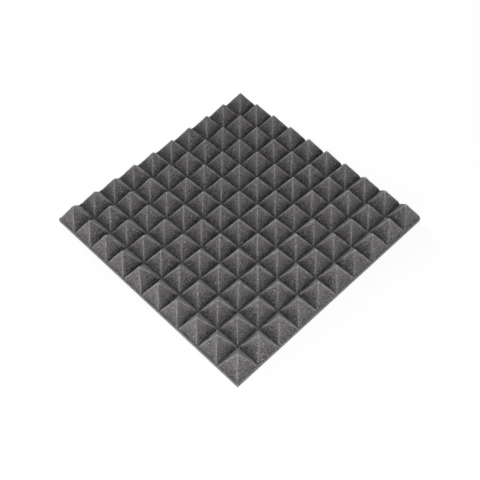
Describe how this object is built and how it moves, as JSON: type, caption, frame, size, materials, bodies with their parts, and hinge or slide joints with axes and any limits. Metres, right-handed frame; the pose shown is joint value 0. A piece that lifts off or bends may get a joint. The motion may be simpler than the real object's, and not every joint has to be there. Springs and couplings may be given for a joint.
{
  "type": "acoustic foam panel",
  "caption": "Square self-adhesive acoustic absorber panel of dark grey open-cell foam, cut in rows of square pyramids, with a two-part peel-off liner.",
  "frame": {"origin": "middle of the panel's back, on the outer face of the release liner", "axes": "+Z out of the back towards the pyramids' tips, +X and +Y along the panel's sides; the liner's slit runs along Y"},
  "size_m": [0.501, 0.498, 0.0479],
  "materials": {
    "foam": "matt open-cell polyurethane foam, cut surface, anthracite",
    "adhesive": "tacky clear acrylic adhesive with a thread scrim, seen against the dark foam",
    "release_liner": "smooth silicone-coated paper, semi-gloss, yellow"
  },
  "bodies": {
    "panel": {"foam_absorber": "foam", "adhesive_film": "adhesive"},
    "liner_left": {"release_liner_left": "release_liner"},
    "liner_right": {"release_liner_right": "release_liner"}
  },
  "joints": [
    {"name": "liner_left_peel", "type": "slide", "parent": "panel", "child": "liner_left", "axis": [-1, 0, 0], "range_m": [0, 0.26]},
    {"name": "liner_right_peel", "type": "slide", "parent": "panel", "child": "liner_right", "axis": [1, 0, 0], "range_m": [0, 0.26]}
  ]
}
